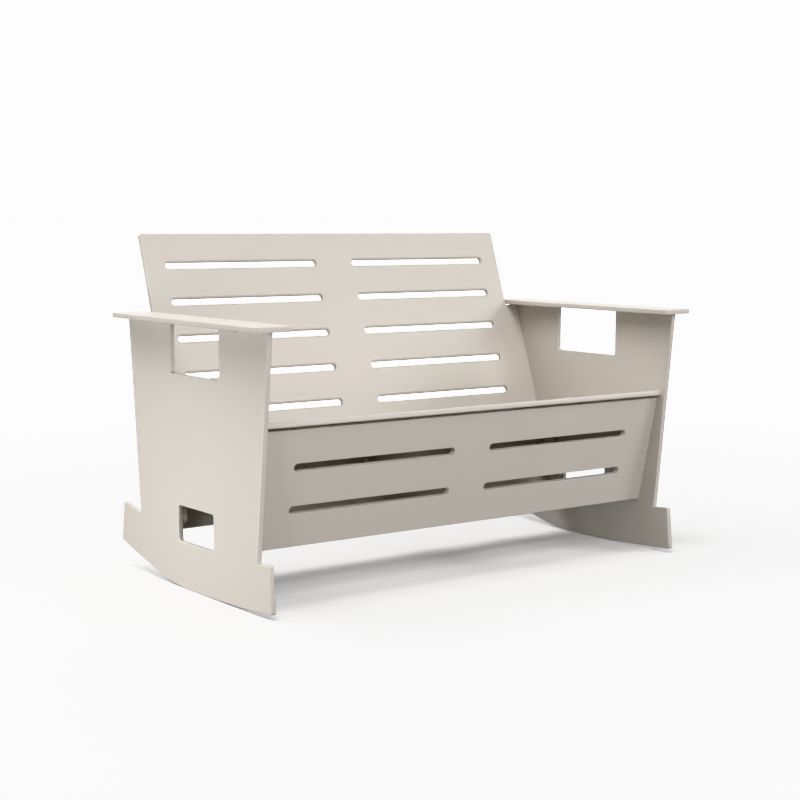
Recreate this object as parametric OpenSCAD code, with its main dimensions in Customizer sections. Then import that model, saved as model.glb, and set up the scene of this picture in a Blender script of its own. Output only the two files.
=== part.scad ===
// Rocking bench cut from one thickness of plastic sheet.
// X runs along the bench, the front faces -Y and Z is up. The floor is at z 0.

/* [Sheet and stock] */
// Thickness of every board
sheet_t = 12.7; // [9:0.1:20]
// Side of the square sticks in the inner corners
bar_s = 25; // [20:0.5:30]

/* [Side panels] */
// Width over the two side panels
bench_w = 1200; // [900:10:1500]
// Height of the side panels, where the arm boards lie
side_h = 610; // [560:0.5:680]
// Half of a side panel's length along its top edge
side_top_half = 314.8; // [305:0.2:325]
// Lean of the front and rear edges, in degrees
side_lean = 5.9; // [4:0.1:7]
// Height of the step above the front foot
front_step_z = 113.4; // [100:0.1:125]
// Height of the step above the rear foot
rear_step_z = 145.4; // [132:0.1:156]
// How far the front foot reaches past the panel's top corner line
front_foot_y = 311.9; // [300:0.1:325]
// Height of the front foot's upper corner
front_foot_z = 118.2; // [110:0.1:124]
// Where the front foot's tip ends
front_tip_y = 321.8; // [315:0.1:326]
// How far the rear foot reaches at its upper corner
rear_foot_y = 354.1; // [340:0.1:360]
// Height of the rear foot's upper corner
rear_foot_z = 161.1; // [152:0.1:168]
// Where the rear foot's tip ends
rear_tip_y = 366.3; // [361:0.1:380]
// Radius of the feet's corners
foot_r = 6; // [3:0.5:10]
// Points that turn each rounded foot corner
foot_turns = 6; // [4:1:10]

/* [Runner] */
// Place of the runner's lowest point, under the bench's centre of mass
low_y = 32.8; // [10:0.1:40]
// Radius of the runner in front of its lowest point
front_runner_r = 4950; // [3500:10:7000]
// Radius of the runner just behind its lowest point
mid_runner_r = 600; // [560:10:900]
// Length of that arc behind the lowest point
mid_run = 120.5; // [80:0.5:130]
// Radius of the rest of the runner, out to the rear foot
rear_runner_r = 2740; // [1500:10:4000]

/* [Grip and window] */
// Wall between the middle of an arm plate and the grip opening
grip_wall = 94; // [80:0.5:110]
// Depth of the grip opening under the arm
grip_d = 116.8; // [90:0.2:125]
// Half of the low window's length
window_half = 79.5; // [65:0.5:84]
// Height of the window's lower edge
window_z = 108.5; // [98:0.2:112]
// Height of the window opening
window_h = 83; // [70:0.5:90]
// Corner radius of grip and window
opening_r = 6; // [3:0.5:9]

/* [Arms] */
// Length of an arm board
arm_l = 654; // [640:1:680]
// Width of an arm board
arm_w = 89; // [80:0.5:100]
// Corner radius of an arm board
arm_r = 10; // [6:0.5:15]
// How far the arm boards' middle lies in front of the side panels' middle
arm_shift = 2.8; // [0:0.1:6]

/* [Seat] */
// Height of the seat's front top edge
seat_z = 415.9; // [395:0.2:430]
// Distance of that edge in front of the side panels' middle
seat_front = 278.5; // [270:0.2:285]
// Depth of the seat along its slope
seat_d = 471; // [455:0.5:485]
// Fall of the seat to the rear, in degrees
seat_slope = 12.4; // [10:0.1:14]
// Rows of slots in the seat
seat_rows = 4; // [3:1:4]

/* [Back] */
// Lean of the back panel, in degrees
back_lean = 18.9; // [17:0.1:20]
// Height of the back above the seat, along the back
back_up = 534.2; // [510:0.2:545]
// Reach of the back below the seat, along the back
back_down = 185.8; // [170:0.2:200]
// Distance from the back's top edge to the first slot's middle
back_slot_top = 81; // [60:0.5:90]
// Gap between the back panel and the arm boards
arm_gap = 1; // [0.5:0.1:3]
// Gap between the back's shoulders and the underside of the arms
shoulder_gap = 1; // [0.5:0.1:3]
// Corner radius of the back's upper corners
back_r = 5; // [3:0.5:10]
// Rows of slots in the back
back_rows = 5; // [3:1:5]

/* [Apron] */
// Lean of the apron, in degrees
apron_lean = 12.4; // [10:0.1:14]
// Height of the apron along its own face
apron_h = 275; // [255:0.5:285]
// Distance of the apron's rear face behind the seat's front edge
apron_in = 26.8; // [22:0.2:32]
// Rows of slots in the apron
apron_rows = 2; // [1:1:2]

/* [Slots] */
// Length of a slot
slot_l = 444; // [300:1:450]
// Width of a slot
slot_w = 20; // [12:0.5:24]
// Solid strip between the two columns of slots
slot_gap = 104; // [90:1:140]
// Spacing of the rows in back and seat
slot_pitch = 92; // [75:0.5:93]
// Spacing of the rows in the apron
apron_pitch = 99; // [60:0.5:110]

/* [Rib and sticks] */
// Depth of the middle rib under the seat
rib_d = 120; // [90:1:130]
// Width of the flat strips in the rear lower corners
strip_w = 50; // [44:0.5:52]
// Corner radius of a strip's lower end
strip_r = 20; // [10:0.5:24]
// Height of the strips' lower end above the back's lower edge
strip_up = 8; // [4:0.5:16]
// Distance of the apron's sticks from its lower edge
apron_bar_up = 12; // [6:0.5:24]
// Clear space left where two sticks meet
bar_gap = 3; // [1:0.1:5]

/* [Arm plates] */
// Distance of the front arm plates from the side panels' middle
front_plate_y = 204; // [180:1:230]
// Distance of the rear arm plates from the back panel's front face
rear_plate_gap = 80; // [60:1:100]
// Length of an arm plate along the arm
plate_l = 40; // [34:0.5:50]
// Width of an arm plate across the arm
plate_w = 54; // [50:0.5:64]
// Thickness of an arm plate
plate_t = 2.5; // [2.2:0.1:4]
// Spacing across the arm of the screws into the arm board
plate_screw_w = 37; // [34:0.5:40]
// Spacing along the arm of the screws into the side panel
plate_screw_l = 24; // [20:0.5:26]

/* [Screws] */
// Shank diameter of every screw
screw_d = 4.8; // [4:0.1:5.5]
// Head diameter
head_d = 9.5; // [8:0.1:10.5]
// Height of a pan head
head_h = 3; // [2:0.1:4]
// Width over the flats of the head's hexagon socket, corner to corner
socket_d = 3.6; // [3:0.1:4.5]
// Depth of the socket
socket_h = 1.6; // [1:0.1:1.8]
// Length of the long screws
long_l = 35; // [33:0.5:36]
// Length of the screws that hold the strips
strip_screw_l = 22; // [18:0.5:23]
// Length of the screws from a plate up into the arm board
arm_screw_l = 12; // [8:0.5:13]
// Length of the screws from a plate down into the side panel
down_screw_l = 30; // [20:0.5:40]
// Space left under a screw's tip
tip_gap = 0.3; // [0.1:0.1:1]

/* [Hidden] */

$fn = 48;
runner_fn = 1440;
// Overrun of every cut past the face that it leaves
cut = 1;

sheet_colour = [0.85, 0.82, 0.78];
stick_colour = [0.78, 0.75, 0.71];
steel_colour = [0.75, 0.76, 0.77];

// Inner faces of the side panels and the middle of their thickness
inner_x = bench_w/2 - sheet_t;
side_mid_x = bench_w/2 - sheet_t/2;
rib_half = sheet_t/2;
arm_inner_x = side_mid_x - arm_w/2;
upper_half = arm_inner_x - arm_gap;

// Angle from the apron's face to the seat's normal, and from the back's
apron_turn = seat_slope + apron_lean;
back_turn = back_lean - seat_slope;

// The seat's rear lower edge, where the back's front face touches it
seat_end_y = -seat_front + seat_d*cos(seat_slope) - sheet_t*sin(seat_slope);
seat_end_z = seat_z - seat_d*sin(seat_slope) - sheet_t*cos(seat_slope);

// Half length of a side panel at height z
function side_half(z) = side_top_half - (side_h - z)*tan(side_lean);

// Centres of the runner's three arcs, each tangent to the next
front_centre = [low_y, front_runner_r];
mid_centre = [low_y, mid_runner_r];
mid_turn = asin(mid_run/mid_runner_r);
rear_centre = mid_centre + (rear_runner_r - mid_runner_r)*[-sin(mid_turn), cos(mid_turn)];

// Point and direction of the lower side of a circle at y
function arc_point(c, r, y) = [y, c[1] - sqrt(r*r - (y - c[0])*(y - c[0]))];
function arc_way(c, r, y) = [1, (y - c[0])/sqrt(r*r - (y - c[0])*(y - c[0]))];

// The part's middle along Y, between the arms' front ends and what reaches furthest back
back_top_y = seat_end_y + back_up*sin(back_lean) + sheet_t*cos(back_lean);
middle_y = (max(rear_tip_y, back_top_y) - arm_l/2 - arm_shift)/2;

// Height on the back of its shoulders, under the arms
shoulder_z = (side_h - shoulder_gap - seat_end_z)/cos(back_lean);
// Places of the arm plates' middles, and of the grip's ends between them
back_arm_y = seat_end_y + (side_h - seat_end_z)*tan(back_lean);
plate_places = [-front_plate_y, back_arm_y - rear_plate_gap];
grip_from = plate_places[0] + grip_wall;
grip_to = plate_places[1] - grip_wall;

// Where the sticks behind the back panel begin and end, between the seat and the back's shoulders
back_bar_shares = [0.105, 0.755];
// Lengths of the sticks that lie along the back, the apron and the rib
back_bar_l = (back_bar_shares[1] - back_bar_shares[0])*shoulder_z;
apron_bar_l = apron_h - apron_bar_up - bar_s*tan(apron_turn) - bar_gap;
rib_bar_l = rib_d/cos(apron_turn) - bar_s*tan(apron_turn) - 2*bar_gap;
rib_rear_l = rib_d/cos(back_turn) - bar_s*tan(back_turn) - 2*bar_gap;
// Where the sticks under the seat begin and end, along the seat
seat_bar_from = apron_in + bar_s/cos(apron_turn) + bar_s*tan(apron_turn) + bar_gap;
seat_bar_to = seat_d - strip_w/cos(back_turn) - bar_s*tan(back_turn) - bar_gap;
rib_seat_to = seat_d - bar_s/cos(back_turn) - bar_s*tan(back_turn) - bar_gap;

// Screw places along a stick: those square to the seat, back or apron come first
square_shares = [1/12, 1/2, 11/12];
side_shares = [1/4, 3/4];
rib_right_shares = [1/4, 7/12];
rib_left_shares = [5/12, 3/4];
strip_shares = [1/8, 1/2, 7/8];
// Distance of the strip's own screws from the back, as a share of the strip
strip_hold_share = 0.72;

function unit(v) = v/norm(v);
function wrap(d) = d > 180 ? d - 360 : d < -180 ? d + 360 : d;

// Points of a corner of radius r at p, between the neighbours a and b
function corner(a, p, b, r) =
    let (u = unit(a - p), w = unit(b - p), half = acos(u*w)/2, c = p + unit(u + w)*r/sin(half),
         s = p + u*r/tan(half) - c, e = p + w*r/tan(half) - c,
         from = atan2(s[1], s[0]), by = wrap(atan2(e[1], e[0]) - from))
    [for (i = [0:foot_turns]) c + r*[cos(from + by*i/foot_turns), sin(from + by*i/foot_turns)]];

// Outline of a side panel down to below its runner, front edge first
front_tip = arc_point(front_centre, front_runner_r, -front_tip_y);
rear_tip = arc_point(rear_centre, rear_runner_r, rear_tip_y);
front_foot = [-front_foot_y, front_foot_z];
rear_foot = [rear_foot_y, rear_foot_z];
tangent_run = window_half;
front_tangent = front_tip + tangent_run*arc_way(front_centre, front_runner_r, -front_tip_y);
rear_tangent = rear_tip - tangent_run*arc_way(rear_centre, rear_runner_r, rear_tip_y);
front_step = [-side_half(front_step_z), front_step_z];
rear_step = [side_half(rear_step_z), rear_step_z];
side_points = concat(
    [[-side_top_half, side_h], front_step],
    corner(front_step, front_foot, front_tip, foot_r),
    corner(front_foot, front_tip, front_tangent, foot_r),
    [front_tangent, [front_tangent[0], -sheet_t], [rear_tangent[0], -sheet_t], rear_tangent],
    corner(rear_tangent, rear_tip, rear_foot, foot_r),
    corner(rear_tip, rear_foot, rear_step, foot_r),
    [rear_step, [side_top_half, side_h]]);

// Square frame with round corners, from its lower left corner
module round_frame(w, h, r) {
    translate([r, 0]) square([w - 2*r, h]);
    translate([0, r]) square([w, h - 2*r]);
    for (x = [r, w - r], y = [r, h - r]) translate([x, y]) circle(r);
}

// Slot with round ends, its middle at the origin
module slot() {
    square([slot_l - slot_w, slot_w], center = true);
    for (s = [-1, 1]) translate([s*(slot_l - slot_w)/2, 0]) circle(d = slot_w);
}

// Two columns of slots, rows upward from y 0
module slot_rows(rows, pitch) {
    for (i = [0:rows - 1], s = [-1, 1])
        translate([s*(slot_gap + slot_l)/2, i*pitch]) slot();
}

// Stands a flat outline up: its own y becomes height and it grows to the rear
module stand() {
    translate([0, sheet_t, 0]) rotate([90, 0, 0]) linear_extrude(sheet_t) children();
}

// Frame of the whole bench, from the side panels' middle to the part's origin
module bench() {
    translate([0, -middle_y, 0]) children();
}

// The left half is the right half mirrored
module hand(side) {
    mirror([side < 0 ? 1 : 0, 0, 0]) children();
}

// Frame of the seat: origin on its front top edge, y along the slope, z out of its top
module seat_frame() {
    translate([0, -seat_front, seat_z]) rotate([-seat_slope, 0, 0]) children();
}

// Frame of the apron: origin on its upper rear edge, under the seat
module apron_frame() {
    seat_frame() translate([0, apron_in, -sheet_t]) rotate([apron_turn, 0, 0]) children();
}

// Frame of the back: origin where its front face touches the seat
module back_frame() {
    translate([0, seat_end_y, seat_end_z]) rotate([-back_lean, 0, 0]) children();
}

// Frames of the sticks: x away from the panel that stands across them, y away from the
// board that they lie along, z along the stick
module apron_bar_frame(x, side) {
    apron_frame() translate([x, 0, apron_bar_up - apron_h]) mirror([side, 0, 0]) children();
}

module rib_front_frame() {
    apron_frame() translate([rib_half, 0, -rib_bar_l - bar_s*tan(apron_turn) - bar_gap]) children();
}

module seat_bar_frame(x, side) {
    seat_frame() translate([x, seat_bar_from, -sheet_t]) rotate([-90, 0, 0]) mirror([side, 0, 0])
        children();
}

module back_bar_frame() {
    back_frame() translate([inner_x, sheet_t, back_bar_shares[0]*shoulder_z]) mirror([1, 0, 0]) children();
}

module rib_rear_frame() {
    back_frame() translate([rib_half, 0, -rib_rear_l - bar_s*tan(back_turn) - bar_gap])
        mirror([0, 1, 0]) children();
}

module strip_frame() {
    back_frame() translate([inner_x, 0, strip_up - back_down]) children();
}

// Length of a strip, up to just under the seat
strip_l = back_down - strip_up - strip_w*tan(back_turn) - bar_gap;

// Screw with a pan head on z 0 and its shank down to -l
module pan_screw(l) {
    difference() {
        cylinder(d = head_d, h = head_h);
        translate([0, 0, head_h - socket_h]) cylinder(d = socket_d, h = socket_h + cut, $fn = 6);
    }
    translate([0, 0, -l]) cylinder(d = screw_d, h = l);
}

// Screw with a flat head, its top on z 0
module flat_screw(l) {
    head_cone = (head_d - screw_d)/2;
    difference() {
        union() {
            translate([0, 0, -head_cone]) cylinder(d1 = screw_d, d2 = head_d, h = head_cone);
            translate([0, 0, -l]) cylinder(d = screw_d, h = l);
        }
        translate([0, 0, -socket_h]) cylinder(d = socket_d, h = socket_h + cut, $fn = 6);
    }
}

// Hole for a screw's shank, from above its seat to past its tip
module screw_hole(l) {
    translate([0, 0, -l - tip_gap]) cylinder(d = screw_d, h = l + tip_gap + head_h);
}

// Places of the screws in a stick's frame, each with its head on the stick's free face
module square_places(l) {
    for (s = square_shares) translate([bar_s/2, bar_s, s*l]) rotate([-90, 0, 0]) children();
}

module cross_places(l, shares) {
    for (s = shares) translate([bar_s, bar_s/2, s*l]) rotate([0, 90, 0]) children();
}

module bar_places(l, shares) {
    square_places(l) children();
    cross_places(l, shares) children();
}

// One square stick with its screw holes
module bar(l, shares) {
    color(stick_colour) difference() {
        cube([bar_s, bar_s, l]);
        bar_places(l, shares) screw_hole(long_l);
    }
}

// What every stick needs in world places: side 1 is the right one, -1 the left
module apron_bar_places(side) {
    hand(side) apron_bar_frame(inner_x, 1) bar_places(apron_bar_l, side_shares) children();
}

module seat_bar_places(side) {
    hand(side) seat_bar_frame(inner_x, 1) bar_places(seat_bar_to - seat_bar_from, side_shares)
        children();
}

module back_bar_places(side) {
    hand(side) back_bar_frame() bar_places(back_bar_l, side_shares) children();
}

function rib_shares(side) = side > 0 ? rib_right_shares : rib_left_shares;

module rib_front_places(side) {
    hand(side) rib_front_frame() bar_places(rib_bar_l, rib_shares(side)) children();
}

module rib_rear_places(side) {
    hand(side) rib_rear_frame() bar_places(rib_rear_l, rib_shares(side)) children();
}

module rib_seat_places(side) {
    hand(side) seat_bar_frame(rib_half, 0)
        bar_places(rib_seat_to - seat_bar_from, rib_shares(side)) children();
}

// Screws through the strips into the side panels
module strip_hold_places(side) {
    hand(side) strip_frame() for (s = strip_shares)
        translate([-sheet_t, -strip_hold_share*strip_w, s*strip_l]) rotate([0, -90, 0]) children();
}

// Screws from behind the back into the strips' edges
module back_hold_places(side) {
    hand(side) strip_frame() for (s = strip_shares)
        translate([-sheet_t/2, sheet_t, s*strip_l]) rotate([-90, 0, 0]) children();
}

// Places of the long screws that reach each board
module long_places() {
    for (side = [-1, 1]) {
        apron_bar_places(side) children();
        seat_bar_places(side) children();
        back_bar_places(side) children();
        rib_front_places(side) children();
        rib_rear_places(side) children();
        rib_seat_places(side) children();
        back_hold_places(side) children();
    }
}

// Middle of an arm plate's top face, at end 0 (front) or 1 (rear)
module plate_frame(side, end) {
    hand(side) translate([side_mid_x, plate_places[end], side_h]) children();
}

module arm_screw_places(side) {
    for (end = [0, 1], s = [-1, 1])
        plate_frame(side, end) translate([s*plate_screw_w/2, 0, -plate_t]) rotate([180, 0, 0])
            children();
}

module plate_screw_places(side) {
    for (end = [0, 1], s = [-1, 1])
        plate_frame(side, end) translate([0, s*plate_screw_l/2, 0]) children();
}

// The region above one arc of the runner, from y over a length
module above_arc(c, r, y, length) {
    intersection() {
        translate(c) circle(r, $fn = runner_fn);
        translate([y, 0]) square([length, side_h + cut]);
    }
}

module above_runner() {
    above_arc(front_centre, front_runner_r, low_y - side_h, side_h);
    above_arc(mid_centre, mid_runner_r, low_y, mid_run);
    above_arc(rear_centre, rear_runner_r, low_y + mid_run, side_h);
}

module side_outline() {
    difference() {
        intersection() {
            polygon(side_points);
            above_runner();
        }
        translate([grip_from, side_h - grip_d])
            round_frame(grip_to - grip_from, grip_d + opening_r + cut, opening_r);
        translate([-window_half, window_z]) round_frame(2*window_half, window_h, opening_r);
    }
}

module side_panel(side) {
    color(sheet_colour) bench() difference() {
        hand(side) translate([inner_x, 0, 0]) rotate([90, 0, 90]) linear_extrude(sheet_t)
            side_outline();
        for (end = [0, 1]) plate_frame(side, end)
            translate([-sheet_t/2 - cut, -plate_l/2, -plate_t])
                cube([sheet_t + 2*cut, plate_l, plate_t + cut]);
        plate_screw_places(side) screw_hole(down_screw_l);
        apron_bar_places(side) screw_hole(long_l);
        seat_bar_places(side) screw_hole(long_l);
        back_bar_places(side) screw_hole(long_l);
        strip_hold_places(side) screw_hole(strip_screw_l);
    }
}

module arm_board(side) {
    color(sheet_colour) bench() difference() {
        hand(side) translate([arm_inner_x, -arm_l/2 - arm_shift, side_h]) linear_extrude(sheet_t)
            round_frame(arm_w, arm_l, arm_r);
        arm_screw_places(side) screw_hole(arm_screw_l);
    }
}

module seat_board() {
    rows_d = (seat_rows - 1)*slot_pitch;
    color(sheet_colour) bench() difference() {
        seat_frame() translate([0, 0, -sheet_t]) linear_extrude(sheet_t) difference() {
            translate([-inner_x, 0]) square([2*inner_x, seat_d]);
            translate([0, (seat_d - rows_d)/2]) slot_rows(seat_rows, slot_pitch);
        }
        for (side = [-1, 1]) {
            seat_bar_places(side) screw_hole(long_l);
            rib_seat_places(side) screw_hole(long_l);
        }
    }
}

module back_outline() {
    difference() {
        union() {
            translate([-inner_x, -back_down]) square([2*inner_x, back_down + shoulder_z]);
            translate([-upper_half, 0]) round_frame(2*upper_half, back_up, back_r);
        }
        translate([0, back_up - back_slot_top - (back_rows - 1)*slot_pitch])
            slot_rows(back_rows, slot_pitch);
    }
}

module back_panel() {
    color(sheet_colour) bench() difference() {
        back_frame() stand() back_outline();
        for (side = [-1, 1]) {
            back_bar_places(side) screw_hole(long_l);
            rib_rear_places(side) screw_hole(long_l);
            back_hold_places(side) screw_hole(long_l);
        }
    }
}

module front_apron() {
    rows_h = (apron_rows - 1)*apron_pitch;
    color(sheet_colour) bench() difference() {
        apron_frame() translate([0, -sheet_t, -apron_h]) stand() difference() {
            translate([-inner_x, 0]) square([2*inner_x, apron_h]);
            translate([0, (apron_h - rows_h)/2]) slot_rows(apron_rows, apron_pitch);
        }
        for (side = [-1, 1]) {
            apron_bar_places(side) screw_hole(long_l);
            rib_front_places(side) screw_hole(long_l);
        }
    }
}

module centre_rib() {
    color(sheet_colour) bench() difference() {
        seat_frame() translate([-rib_half, 0, -sheet_t]) rotate([90, 0, 90]) linear_extrude(sheet_t)
            polygon([[apron_in, 0], [apron_in + rib_d*tan(apron_turn), -rib_d],
                     [seat_d - rib_d*tan(back_turn), -rib_d], [seat_d, 0]]);
        for (side = [-1, 1]) {
            rib_front_places(side) screw_hole(long_l);
            rib_rear_places(side) screw_hole(long_l);
            rib_seat_places(side) screw_hole(long_l);
        }
    }
}

module back_strip(side) {
    color(stick_colour) bench() difference() {
        hand(side) strip_frame() rotate([90, 0, -90]) linear_extrude(sheet_t) union() {
            translate([0, strip_r]) square([strip_w, strip_l - strip_r]);
            square([strip_w - strip_r, strip_l]);
            translate([strip_w - strip_r, strip_r]) circle(strip_r);
        }
        strip_hold_places(side) screw_hole(strip_screw_l);
        back_hold_places(side) screw_hole(long_l);
    }
}

module back_bar(side) {
    bench() hand(side) back_bar_frame() bar(back_bar_l, side_shares);
}

module apron_bar(side) {
    bench() hand(side) apron_bar_frame(inner_x, 1) bar(apron_bar_l, side_shares);
}

module seat_bar(side) {
    bench() hand(side) seat_bar_frame(inner_x, 1) bar(seat_bar_to - seat_bar_from, side_shares);
}

module rib_front_bar(side) {
    bench() hand(side) rib_front_frame() bar(rib_bar_l, rib_shares(side));
}

module rib_rear_bar(side) {
    bench() hand(side) rib_rear_frame() bar(rib_rear_l, rib_shares(side));
}

module rib_seat_bar(side) {
    bench() hand(side) seat_bar_frame(rib_half, 0)
        bar(rib_seat_to - seat_bar_from, rib_shares(side));
}

module arm_plate(side, end) {
    head_cone = (head_d - screw_d)/2;
    color(steel_colour) bench() difference() {
        plate_frame(side, end) translate([-plate_w/2, -plate_l/2, -plate_t])
            cube([plate_w, plate_l, plate_t]);
        for (s = [-1, 1]) plate_frame(side, end) {
            translate([s*plate_screw_w/2, 0, -plate_t - cut])
                cylinder(d = screw_d, h = plate_t + 2*cut);
            translate([0, s*plate_screw_l/2, -plate_t - cut])
                cylinder(d = screw_d, h = plate_t + 2*cut);
            translate([0, s*plate_screw_l/2, -head_cone])
                cylinder(d1 = screw_d, d2 = head_d, h = head_cone);
        }
    }
}

module long_screws() {
    color(steel_colour) bench() long_places() pan_screw(long_l);
}

module strip_screws() {
    color(steel_colour) bench() for (side = [-1, 1]) strip_hold_places(side) pan_screw(strip_screw_l);
}

module arm_screws() {
    color(steel_colour) bench() for (side = [-1, 1]) arm_screw_places(side) pan_screw(arm_screw_l);
}

module plate_screws() {
    color(steel_colour) bench() for (side = [-1, 1]) plate_screw_places(side) flat_screw(down_screw_l);
}

side_panel(-1);  // side_panel_left
side_panel(1);  // side_panel_right
arm_board(-1);  // arm_board_left
arm_board(1);  // arm_board_right
seat_board();
back_panel();
front_apron();
centre_rib();
back_strip(-1);  // back_strip_left
back_strip(1);  // back_strip_right
back_bar(-1);  // back_bar_left
back_bar(1);  // back_bar_right
apron_bar(-1);  // apron_bar_left
apron_bar(1);  // apron_bar_right
seat_bar(-1);  // seat_bar_left
seat_bar(1);  // seat_bar_right
rib_front_bar(-1);  // rib_front_bar_left
rib_front_bar(1);  // rib_front_bar_right
rib_rear_bar(-1);  // rib_rear_bar_left
rib_rear_bar(1);  // rib_rear_bar_right
rib_seat_bar(-1);  // rib_seat_bar_left
rib_seat_bar(1);  // rib_seat_bar_right
arm_plate(-1, 0);  // arm_plate_left_front
arm_plate(-1, 1);  // arm_plate_left_rear
arm_plate(1, 0);  // arm_plate_right_front
arm_plate(1, 1);  // arm_plate_right_rear
long_screws();
strip_screws();
arm_screws();
plate_screws();
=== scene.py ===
"""The looks of a rocking bench made of routed polyethylene board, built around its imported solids.

X runs along the bench, the front faces -Y and Z is up. Sizes are in millimetres, as they are on
a cutting list, and MM turns them into the scene's metres. The studio's lamps are in metres.
"""

import logging
import math
from collections.abc import Callable, Sequence
from dataclasses import dataclass, replace
from enum import Enum
from functools import cached_property

import bmesh
import bpy
import numpy as np
from bpy.types import ID, Material, Mesh, Node, NodeSocket, NodeTree, Object
from mathutils import Matrix, Vector


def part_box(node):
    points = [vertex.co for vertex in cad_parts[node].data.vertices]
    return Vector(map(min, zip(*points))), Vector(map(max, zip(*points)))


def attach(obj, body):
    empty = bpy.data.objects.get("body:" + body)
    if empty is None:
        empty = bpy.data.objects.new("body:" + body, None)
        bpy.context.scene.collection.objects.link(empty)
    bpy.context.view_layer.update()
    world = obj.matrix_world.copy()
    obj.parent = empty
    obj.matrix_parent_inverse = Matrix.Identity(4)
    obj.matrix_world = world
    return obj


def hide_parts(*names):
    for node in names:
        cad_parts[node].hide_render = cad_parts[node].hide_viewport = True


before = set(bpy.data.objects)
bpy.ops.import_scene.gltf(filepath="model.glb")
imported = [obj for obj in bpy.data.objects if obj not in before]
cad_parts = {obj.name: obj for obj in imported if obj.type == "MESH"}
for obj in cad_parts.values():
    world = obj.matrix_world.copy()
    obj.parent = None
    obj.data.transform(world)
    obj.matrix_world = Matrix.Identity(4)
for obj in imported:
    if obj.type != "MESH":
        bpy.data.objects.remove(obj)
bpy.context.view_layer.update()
LOG = logging.getLogger("rocking_bench")
MM = 0.001
# Points nearer to each other than this are one point, in metres.
MERGE = 0.00001
# An edge counts as lying on a board's border when it is as near as this, in millimetres.
NEAR = 1.0
Point = tuple[float, float]
Place = tuple[float, float, float]
Loop = list[Point]
Test = Callable[[Vector], bool]


def rgb(code: str) -> tuple[float, float, float, float]:
    """Turns an sRGB hex colour into linear light.

    Args:
        code: Colour such as "#d9d2ca".

    Returns:
        Linear red, green, blue and an alpha of one.
    """
    parts = [int(code[i:i + 2], 16)/255 for i in (1, 3, 5)]
    linear = [c/12.92 if c <= 0.04045 else ((c + 0.055)/1.055)**2.4 for c in parts]
    return (linear[0], linear[1], linear[2], 1.0)


def feed(node: Node, inputs: dict) -> None:
    """Sets or links a node's inputs.

    Args:
        node: The node.
        inputs: Socket name or number, with its value, the output socket that goes there, or a
            node whose first output does.
    """
    for key, value in inputs.items():
        if isinstance(value, Node):
            value = value.outputs[0]
        if isinstance(value, NodeSocket):
            node.id_data.links.new(value, node.inputs[key])
        else:
            node.inputs[key].default_value = value


def add(tree: NodeTree, kind: str, inputs: dict | None = None, **settings: object) -> Node:
    """Adds one node with its settings and its links.

    Args:
        tree: Tree that takes the node.
        kind: The node's type name.
        inputs: What feed() takes.
        settings: The node's own properties.

    Returns:
        The new node.
    """
    node = tree.nodes.new(kind)
    for name, value in settings.items():
        setattr(node, name, value)
    feed(node, inputs or {})
    return node


def put(name: str, data: ID) -> Object:
    """Puts an object into the scene.

    Args:
        name: The object's name.
        data: Its mesh, lamp or camera.

    Returns:
        The new object.
    """
    thing = bpy.data.objects.new(name, data)
    bpy.context.scene.collection.objects.link(thing)
    return thing


def start_material(name: str) -> tuple[Material, Node]:
    """Starts a material.

    Args:
        name: The material's name.

    Returns:
        The material and its Principled shader.
    """
    material = bpy.data.materials.new(name)
    material.use_nodes = True
    return material, material.node_tree.nodes["Principled BSDF"]


@dataclass(frozen=True)
class Grain:
    """A fine pattern: the size of its cells in millimetres, and how they are drawn."""

    cell_mm: float
    detail: float = 2.0
    roughness: float = 0.5
    distortion: float = 0.0
    squeeze: Place = (1.0, 1.0, 1.0)

    def draw(self, tree: NodeTree) -> Node:
        """Draws the pattern on Object coordinates.

        Args:
            tree: The material's tree.

        Returns:
            The node that gives the pattern.
        """
        place = add(tree, "ShaderNodeTexCoord").outputs["Object"]
        drawn = add(tree, "ShaderNodeMapping", {"Vector": place, "Scale": self.squeeze})
        return add(tree, "ShaderNodeTexNoise", {
            "Vector": drawn, "Scale": 1/(self.cell_mm*MM), "Detail": self.detail,
            "Roughness": self.roughness, "Distortion": self.distortion})


@dataclass(frozen=True)
class Relief:
    """How a grain shows: it spreads the roughness round its mean and is a shallow bump."""

    smoother: float
    rougher: float
    strength: float
    height_mm: float
    low: float = 0.0
    high: float = 1.0

    def carve(self, shader: Node, roughness: float, grain: Grain) -> None:
        """Lets a grain drive the shader's roughness and bump.

        Args:
            shader: The material's shader.
            roughness: The surface's mean roughness.
            grain: The grain, which lies between low and high.
        """
        tree = shader.id_data
        pattern = grain.draw(tree)
        rough = add(tree, "ShaderNodeMapRange", {
            "Value": pattern, "From Min": self.low, "From Max": self.high,
            "To Min": roughness - self.smoother, "To Max": roughness + self.rougher})
        bump = add(tree, "ShaderNodeBump", {
            "Height": pattern, "Strength": self.strength, "Distance": self.height_mm*MM})
        feed(shader, {"Roughness": rough, "Normal": bump})


class Surface(Enum):
    """How a face of polyethylene was made, with the grain that this leaves."""

    # The press plate leaves a fine pebble. The real one is near 1 mm, drawn coarser to show.
    PRESSED = Grain(3.2, detail=2.0)
    # A round-over cutter leaves faint waves along the edge, a few to the centimetre.
    ROUTED = Grain(4.8, detail=1.0, distortion=0.4)
    # A saw leaves streaks along the stick.
    SAWN = Grain(2.4, detail=3.0, squeeze=(1.0, 0.06, 0.06))


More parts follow.
